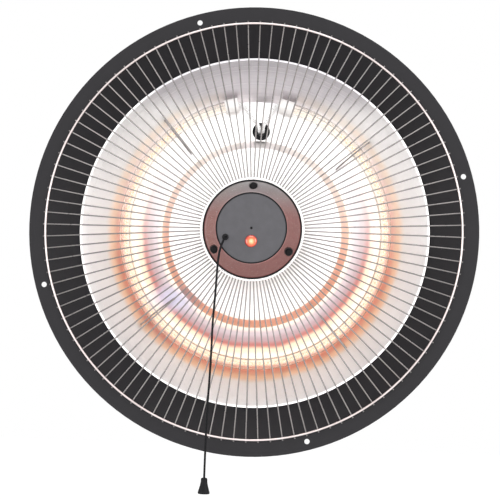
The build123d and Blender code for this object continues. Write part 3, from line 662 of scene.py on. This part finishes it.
class HEATER_OT_reflector(bpy.types.Operator):
    """Spins the stepped reflector and cuts its lead hole"""

    bl_idname = "heater.reflector"
    bl_label = "Reflector"

    def execute(self, context):
        hem, trough = REFLECTOR_RADIUS / MM, TROUGH_DEPTH / MM
        points = [
            (hem, 24.9), (hem - 1.8, 24.9), (144.0, 43.0), (130.0, trough), (91.5, trough), (84.0, 52.0),
            (CENTRE_BORE / MM, 52.0),
        ]
        front, gauge = [(r * MM, depth * MM) for r, depth in points], 0.8 * MM
        mesh = turned_mesh("reflector_sheet", sheet_profile(front, gauge), 240, soft=20)
        piece = place_piece(mesh, "reflector_sheet", "aluminium", "heater", ["reflector"])
        hole, reach = clock_point(LEAD_HOLE_RADIUS, LEAD_HOLE_CLOCK, TROUGH_DEPTH), 20 * MM
        cutter = bpy.data.meshes.new("lead_hole_cut")
        corners, faces = lathe([(0.0, -reach), (LEAD_HOLE, -reach), (LEAD_HOLE, reach), (0.0, reach)], 40)
        cutter.from_pydata([Vector(corner) + hole for corner in corners], [], faces)
        weld(cutter)
        tool = bpy.data.objects.new("lead_hole_cut", cutter)
        context.scene.collection.objects.link(tool)
        cut = piece.modifiers.new("lead hole", "BOOLEAN")
        cut.object = tool
        cut.solver = "EXACT"
        context.view_layer.objects.active = piece
        piece.select_set(True)
        bpy.ops.object.modifier_apply(modifier=cut.name)
        bpy.data.objects.remove(tool)
        piece.data.set_sharp_from_angle(angle=radians(20))
        return {"FINISHED"}


class HEATER_OT_guard(bpy.types.Operator):
    """Welds the guard from its wires, ring and hub plate, and seats two thin black rings on it and on the
    cap, painted shadow lines at the cap's rim and round its face plate
    """

    bl_idname = "heater.guard"
    bl_label = "Guard"

    def execute(self, context):
        sizes = context.scene.heater_sizes
        sink = 0.3 * MM
        hub_back = -20.8 * MM
        inner, outer = sizes.hub_radius, sizes.ring_radius + 2.4 * MM
        inner_depth = hub_back + sizes.wire / 2 - sink
        outer_depth = -sizes.wire / 2 - sink

        def depth_at(radius):
            return inner_depth + (outer_depth - inner_depth) * (radius - inner) / (outer - inner)

        start = inner - 3.4 * MM
        routes = []
        for k in range(sizes.wire_count):
            clock = 360 / sizes.wire_count * k
            ends = [(start, depth_at(start)), (outer, depth_at(outer))]
            routes.append([clock_point(r, clock, depth) for r, depth in ends])
        wires = wire_curve("guard_wires", routes, sizes.wire)
        place_piece(wires, "guard_wires", "bright_wire", "heater", ["guard"])
        drop = sizes.wire / 2 + sizes.ring_wire / 2 - sink
        ring = arc_points(sizes.ring_radius, depth_at(sizes.ring_radius) - drop, 0, 358.5, 1.5)
        ring_wire = wire_curve("guard_ring", [ring], sizes.ring_wire, closed=True, sides=4)
        place_piece(ring_wire, "guard_ring", "ring_wire", "heater", [])
        self.turn_hub(inner, hub_back)
        self.seat_shadow_rings()
        return {"FINISHED"}

    def turn_hub(self, rim, back):
        """Hub plate with a rolled bead round its edge."""
        front, bead = HUB_FRONT, 0.8 * MM
        middle = rim - bead
        angles = [radians(a) for a in range(-80, 91, 17)]
        rolled = [(middle + bead * sin(a), front - bead * cos(a) + bead) for a in angles]
        profile = [
            (CENTRE_BORE, front + 0.1 * MM), (rim - 2 * bead, front + 0.1 * MM), *rolled,
            (rim, back - 0.2 * MM), (rim - 0.2 * MM, back), (CENTRE_BORE, back),
        ]
        mesh = turned_mesh("guard_hub", profile, 160)
        place_piece(mesh, "guard_hub", "hub_rim", "heater", [])

    def seat_shadow_rings(self):
        """Painted shadows: a thin black ring under the cap's rim where its gap falls into shadow, and another
        round the face plate where its groove does.
        """
        inner, outer, front = 44.6 * MM, 46.6 * MM, HUB_FRONT
        ring = [
            (inner, front), (outer, front), (outer, front - 0.5 * MM), (45.3 * MM, front - 0.7 * MM),
            (inner, front - 0.7 * MM),
        ]
        rim_shadow_mesh = turned_mesh("cap_shadow_ring", ring, 120)
        place_piece(rim_shadow_mesh, "cap_shadow_ring", "black_rubber", "heater", [])
        plate = node_span("cap_face_plate", 0)[1]
        low, high = node_span("cap_face_plate", 1)
        inner, outer, front = plate + 0.06 * MM, plate + 1.2 * MM, low - 0.35 * MM
        face_shadow_mesh = turned_mesh("face_shadow_ring", [(inner, front), (outer, front), (outer, high), (inner, high)], 120)
        place_piece(face_shadow_mesh, "face_shadow_ring", "black_rubber", "heater", [])
        return {"FINISHED"}


class HEATER_OT_lamp(bpy.types.Operator):
    """Draws the quartz tube, winds its filament and fits its leads and clips"""

    bl_idname = "heater.lamp"
    bl_label = "Lamp"

    def execute(self, context):
        sizes = context.scene.heater_sizes
        self.draw_tube(sizes)
        self.wind_filament(sizes)
        self.fit_leads(sizes)
        self.fit_clips(sizes)
        return {"FINISHED"}

    def draw_tube(self, sizes):
        """Hollow tube, open at its ends, where the ceramic caps close it."""
        around, along = 20, 220
        outer, inner = sizes.tube / 2, sizes.tube_bore / 2
        corners, faces = [], []
        for k in range(along + 1):
            clock = TUBE_END_CLOCK + (360 - 2 * TUBE_END_CLOCK) * k / along
            for wall in (outer, inner):
                for n in range(around):
                    a = 2 * pi * n / around
                    radius = sizes.lamp_radius + wall * cos(a)
                    corners.append(clock_point(radius, clock, sizes.lamp_depth + wall * sin(a)))
        for k in range(along):
            for side in (0, 1):
                base, ahead = (2 * k + side) * around, (2 * k + 2 + side) * around
                for n in range(around):
                    m = (n + 1) % around
                    faces.append((base + n, base + m, ahead + m, ahead + n))
        for end in (0, along):
            base = 2 * end * around
            for n in range(around):
                m = (n + 1) % around
                faces.append((base + n, base + m, base + around + m, base + around + n))
        mesh = bpy.data.meshes.new("quartz_tube")
        mesh.from_pydata(corners, [], faces)
        weld(mesh)
        mesh.shade_smooth()
        mesh.set_sharp_from_angle(angle=radians(40))
        place_piece(mesh, "quartz_tube", "quartz", "heater", ["lamp_tube"])

    def wind_filament(self, sizes):
        """One unbroken coil, and its straight tails to the end caps."""
        first, last = 39.0, 325.0
        arc = radians(last - first) * sizes.lamp_radius
        turns = round(arc / sizes.coil_pitch)
        steps = 12
        route = []
        for k in range(turns * steps + 1):
            share = k / (turns * steps)
            clock = first + (last - first) * share
            a = 2 * pi * k / steps
            radius = sizes.lamp_radius + sizes.coil / 2 * cos(a)
            route.append(clock_point(radius, clock, sizes.lamp_depth + sizes.coil / 2 * sin(a)))
        coil = wire_curve("filament_coil", [route], sizes.coil_wire, sides=1)
        place_piece(coil, "filament_coil", "filament", "heater", ["lamp_filament"])
        radius = sizes.lamp_radius + sizes.coil / 2
        tails = [arc_points(radius, sizes.lamp_depth, 15.2, first, 3)]
        tails.append(arc_points(radius, sizes.lamp_depth, last, 344.8, 3))
        wires = wire_curve("filament_tails", tails, 0.8 * MM, sides=2)
        place_piece(wires, "filament_tails", "plated_steel", "heater", [])

    def fit_leads(self, sizes):
        """Two sleeved leads, from the end caps through the grommet to the terminal block."""
        hole = clock_point(LEAD_HOLE_RADIUS, LEAD_HOLE_CLOCK, TROUGH_DEPTH)
        inner = clock_point(50 * MM, LEAD_HOLE_CLOCK, 88 * MM)
        routes = []
        for side in (-1, 1):
            end = clock_point(sizes.lamp_radius, TUBE_END_CLOCK * side, sizes.lamp_depth)
            along = Vector((cos(radians(TUBE_END_CLOCK)) * -side, 0, sin(radians(TUBE_END_CLOCK))))
            cap_end = end + along * 13 * MM
            first = cap_end + along * 13 / 3 * MM
            middle = (first + hole) / 2 + Vector((side * 1.5, -2.5, 1.5)) * MM
            x = hole.x + side * 2 * MM
            inner_x = inner.x + side * 2 * MM
            routes.append([
                cap_end, first, middle,
                Vector((x, 52 * MM, hole.z + 5 * MM)), Vector((x, 57 * MM, hole.z)),
                Vector((x, 69 * MM, hole.z - 0.5 * MM)), Vector((x, 77 * MM, hole.z - 12 * MM)),
                Vector((inner_x, 81 * MM, inner.z + 8 * MM)), Vector((inner_x, 86 * MM, inner.z)),
                Vector((inner_x, 97 * MM, inner.z)),
            ])
        curve = wire_curve("lead_sleeves", routes, 3.2 * MM, kind="NURBS", sides=4)
        place_piece(curve, "lead_sleeves", "glass_sleeve", "heater", ["lamp_leads"])

    def fit_clips(self, sizes):
        """Four sprung wires that hold the tube against the reflector."""
        front = sizes.lamp_depth - sizes.tube / 2 - 0.95 * MM
        side = [
            (101 * MM, 67.8 * MM), (101 * MM, TROUGH_DEPTH), (101.5 * MM, 51 * MM), (112 * MM, 43.5 * MM),
            (sizes.lamp_radius - 6 * MM, front), (sizes.lamp_radius + 6.5 * MM, front),
            (sizes.lamp_radius + 14.7 * MM, sizes.lamp_depth - 2.5 * MM),
        ]
        clocks = [CLIP_CLOCK + 360 / CLIP_COUNT * k for k in range(CLIP_COUNT)]
        routes = [[clock_point(r, clock, depth) for r, depth in side] for clock in clocks]
        curve = wire_curve("lamp_clip_wires", routes, 1.5 * MM, kind="NURBS", sides=3)
        place_piece(curve, "lamp_clip_wires", "bright_wire", "heater", ["lamp_clips"])


class HEATER_OT_lens(bpy.types.Operator):
    """Moulds the domed indicator lens"""

    bl_idname = "heater.lens"
    bl_label = "Indicator lens"

    def execute(self, context):
        low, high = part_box("indicator_lens")
        lip, stem = 1.0 * MM, 3.4 * MM
        radius = (high[0] - low[0]) / 2 + lip
        seat = LENS_FRONT + 2.6 * MM
        rise = seat - LENS_FRONT
        dome = [(radius * sin(radians(a)), seat - rise * cos(radians(a))) for a in range(0, 91, 9)]
        profile = dome + [(stem, seat), (stem, LENS_BACK), (0.0, LENS_BACK)]
        mesh = turned_mesh("lens_dome", profile, 64)
        middle = Vector(((low[0] + high[0]) / 2, 0, (low[2] + high[2]) / 2))
        mesh.transform(Matrix.Translation(middle))
        place_piece(mesh, "lens_dome", "lens", "heater", ["indicator_lens"])
        return {"FINISHED"}


class HEATER_OT_cord(bpy.types.Operator):
    """Hangs the pull cord and moulds its bell-shaped knob"""

    bl_idname = "heater.cord"
    bl_label = "Pull cord"

    def execute(self, context):
        sizes = context.scene.heater_sizes
        knob = self.mould_knob()
        x, face, z = -23.6, -44.1, -9.1
        hang = face - 12.9
        route = [
            (x, face, z), (x, face - 5.4, z), (x - 1.2, face - 9.6, z - 3.9), (x - 3.4, hang + 0.9, z - 9.9),
            (x - 5.0, hang, z - 19.0), (x - 5.8, hang - 0.3, z - 33.0), (x - 6.5, hang - 0.1, z - 53.0),
            (x - 8.1, hang + 0.1, z - 77.0), (x - 8.3, hang + 0.2, z - 101.0),
            (x - 8.9, hang + 0.1, z - 125.0), (x - 10.0, hang + 0.1, z - 150.0),
            (x - 10.4, hang, z - 175.0), (x - 10.7, hang, z - 198.0), (x - 10.7, hang, z - 219.4),
        ]
        points = [Vector(point) * MM for point in route]
        curve = wire_curve("cord_line", [points], sizes.cord, kind="NURBS", sides=4)
        cord = place_piece(curve, "cord_line", "cord_braid", "pull", ["pull_cord"])
        return {"FINISHED"}

    def mould_knob(self):
        """Bell with a small collar at its top and a rolled foot."""
        low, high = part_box("cord_knob")
        top, bottom = high[2], low[2]
        length = top - bottom
        foot = (high[0] - low[0]) / 2
        outline = [
            (0.0, 0.0), (2.2 * MM, 0.0), (2.8 * MM, 0.04), (3.0 * MM, 0.10), (3.0 * MM, 0.22),
            (3.25 * MM, 0.34), (3.7 * MM, 0.48), (4.25 * MM, 0.62), (4.8 * MM, 0.75),
            (foot - 0.12 * MM, 0.86), (foot, 0.90), (foot, 0.955), (foot - 0.3 * MM, 0.99),
            (foot - 0.8 * MM, 1.0), (0.0, 1.0),
        ]
        profile = [(r, top - share * length) for r, share in outline]
        mesh = turned_mesh("knob_bell", profile, 72, turn="Z", soft=60)
        mesh.transform(Matrix.Translation(((low[0] + high[0]) / 2, (low[1] + high[1]) / 2, 0)))
        return place_piece(mesh, "knob_bell", "black_rubber", "pull", ["cord_knob"])


class HEATER_OT_stage(bpy.types.Operator):
    """Sets up the floor, the white surroundings, the softboxes and the camera"""

    bl_idname = "heater.stage"
    bl_label = "Stage"

    def execute(self, context):
        stage = context.scene.heater_stage
        context.scene.view_settings.view_transform = "Standard"
        self.set_camera(context, stage)
        self.set_world(context, stage)
        self.set_floor(context)
        self.set_softboxes(context, stage)
        return {"FINISHED"}

    def set_camera(self, context, stage):
        """Camera where the photographer stood: a little low, a little right, and leaning."""
        level = cos(stage.elevation)
        back = Vector((sin(stage.azimuth) * level, -cos(stage.azimuth) * level, sin(stage.elevation)))
        place = back * stage.distance
        forward = (Vector(stage.aim) - place).normalized()
        right = forward.cross(Vector((0, 0, 1))).normalized()
        up = right.cross(forward)
        c, s = cos(stage.roll), sin(stage.roll)
        lean_up = up * c - right * s
        lean_right = right * c + up * s
        camera = bpy.data.cameras.new("camera")
        camera.lens = stage.lens
        camera.sensor_width = 36
        seat = bpy.data.objects.new("camera", camera)
        turn = Matrix((lean_right, lean_up, -forward)).transposed().to_4x4()
        seat.matrix_world = Matrix.Translation(place) @ turn
        context.scene.collection.objects.link(seat)
        context.scene.camera = seat

    def set_world(self, context, stage):
        """Even white light, and pure white wherever the camera or a shiny surface looks past the object."""
        world = bpy.data.worlds.new("white_room")
        context.scene.world = world
        world.use_nodes = True
        tree = world.node_tree
        tree.nodes.clear()
        path = tree.nodes.new("ShaderNodeLightPath")
        seen = tree.nodes.new("ShaderNodeMath")
        seen.operation = "MAXIMUM"
        tree.links.new(path.outputs["Is Camera Ray"], seen.inputs[0])
        tree.links.new(path.outputs["Is Transmission Ray"], seen.inputs[1])
        shiny = tree.nodes.new("ShaderNodeMath")
        shiny.operation = "MAXIMUM"
        tree.links.new(seen.outputs[0], shiny.inputs[0])
        tree.links.new(path.outputs["Is Glossy Ray"], shiny.inputs[1])
        light = tree.nodes.new("ShaderNodeBackground")
        light.inputs["Strength"].default_value = stage.fill
        white = tree.nodes.new("ShaderNodeBackground")
        white.inputs["Strength"].default_value = 1.0
        for background in (light, white):
            background.inputs["Color"].default_value = (1, 1, 1, 1)
        mix = tree.nodes.new("ShaderNodeMixShader")
        tree.links.new(shiny.outputs[0], mix.inputs["Fac"])
        tree.links.new(light.outputs[0], mix.inputs[1])
        tree.links.new(white.outputs[0], mix.inputs[2])
        out = tree.nodes.new("ShaderNodeOutputWorld")
        tree.links.new(mix.outputs[0], out.inputs["Surface"])

    def set_floor(self, context):
        """Wide pale floor well below the knob."""
        half, depth = 6.0, -0.62
        mesh = bpy.data.meshes.new("floor")
        corners = [(-half, -half, depth), (half, -half, depth), (half, half, depth), (-half, half, depth)]
        mesh.from_pydata(corners, [], [(0, 1, 2, 3)])
        floor = bpy.data.objects.new("floor", mesh)
        context.scene.collection.objects.link(floor)
        material, tree, shader, place = blank("pale_floor")
        shader.inputs["Base Color"].default_value = (0.92, 0.92, 0.92, 1)
        shader.inputs["Roughness"].default_value = 0.9
        shader.inputs["Emission Color"].default_value = (1, 1, 1, 1)
        path = tree.nodes.new("ShaderNodeLightPath")
        share = tree.nodes.new("ShaderNodeMath")
        share.operation = "MULTIPLY"
        share.inputs[1].default_value = 0.35
        tree.links.new(path.outputs["Is Camera Ray"], share.inputs[0])
        tree.links.new(share.outputs[0], shader.inputs["Emission Strength"])
        mesh.materials.append(material)

    def set_softboxes(self, context, stage):
        """Two upright softboxes beside the camera, one above it and a weaker one behind it."""
        boxes = [
            ("softbox_right", (1.5, -1.1, 0.25), 0.9, 1.3, 1.0),
            ("softbox_left", (-1.5, -1.1, -0.1), 0.9, 1.3, 1.0),
            ("softbox_top", (0.0, -0.9, 1.7), 1.4, 0.9, 1.0),
            ("softbox_front", (0.1, -2.3, 0.1), 1.5, 1.5, 0.78),
        ]
        for name, place, width, height, share in boxes:
            light = bpy.data.lights.new(name, "AREA")
            light.shape = "RECTANGLE"
            light.size, light.size_y = width, height
            light.energy = stage.key * share
            lamp = bpy.data.objects.new(name, light)
            lamp.location = place
            lamp.rotation_euler = (-Vector(place)).to_track_quat("-Z", "Y").to_euler()
            context.scene.collection.objects.link(lamp)


class HEATER_PT_panel(bpy.types.Panel):
    """The heater's settings and steps, in the sidebar"""

    bl_idname = "HEATER_PT_panel"
    bl_label = "Hanging Heater"
    bl_space_type = "VIEW_3D"
    bl_region_type = "UI"
    bl_category = "Heater"

    def draw(self, context):
        column = self.layout.column()
        for group in (context.scene.heater_sizes, context.scene.heater_colours, context.scene.heater_stage):
            for name in group.__annotations__:
                column.prop(group, name)
        for step in STEPS:
            column.operator(step.bl_idname)


STEPS = (
    HEATER_OT_finishes,
    HEATER_OT_stage,
    HEATER_OT_cord,
    HEATER_OT_reflector,
    HEATER_OT_guard,
    HEATER_OT_lamp,
    HEATER_OT_lens,
)
GROUPS = {"heater_sizes": HeaterSizes, "heater_colours": HeaterColours, "heater_stage": StageSettings}


def register():
    for group in GROUPS.values():
        bpy.utils.register_class(group)
    for name, group in GROUPS.items():
        setattr(bpy.types.Scene, name, bpy.props.PointerProperty(type=group))
    for step in STEPS:
        bpy.utils.register_class(step)
    bpy.utils.register_class(HEATER_PT_panel)


def unregister():
    bpy.utils.unregister_class(HEATER_PT_panel)
    for step in reversed(STEPS):
        bpy.utils.unregister_class(step)
    for name, group in GROUPS.items():
        delattr(bpy.types.Scene, name)
        bpy.utils.unregister_class(group)


def main():
    register()
    bpy.ops.heater.finishes()
    bpy.ops.heater.stage()
    bpy.ops.heater.cord()
    bpy.ops.heater.reflector()
    bpy.ops.heater.guard()
    bpy.ops.heater.lamp()
    bpy.ops.heater.lens()


if __name__ == "__main__":
    main()
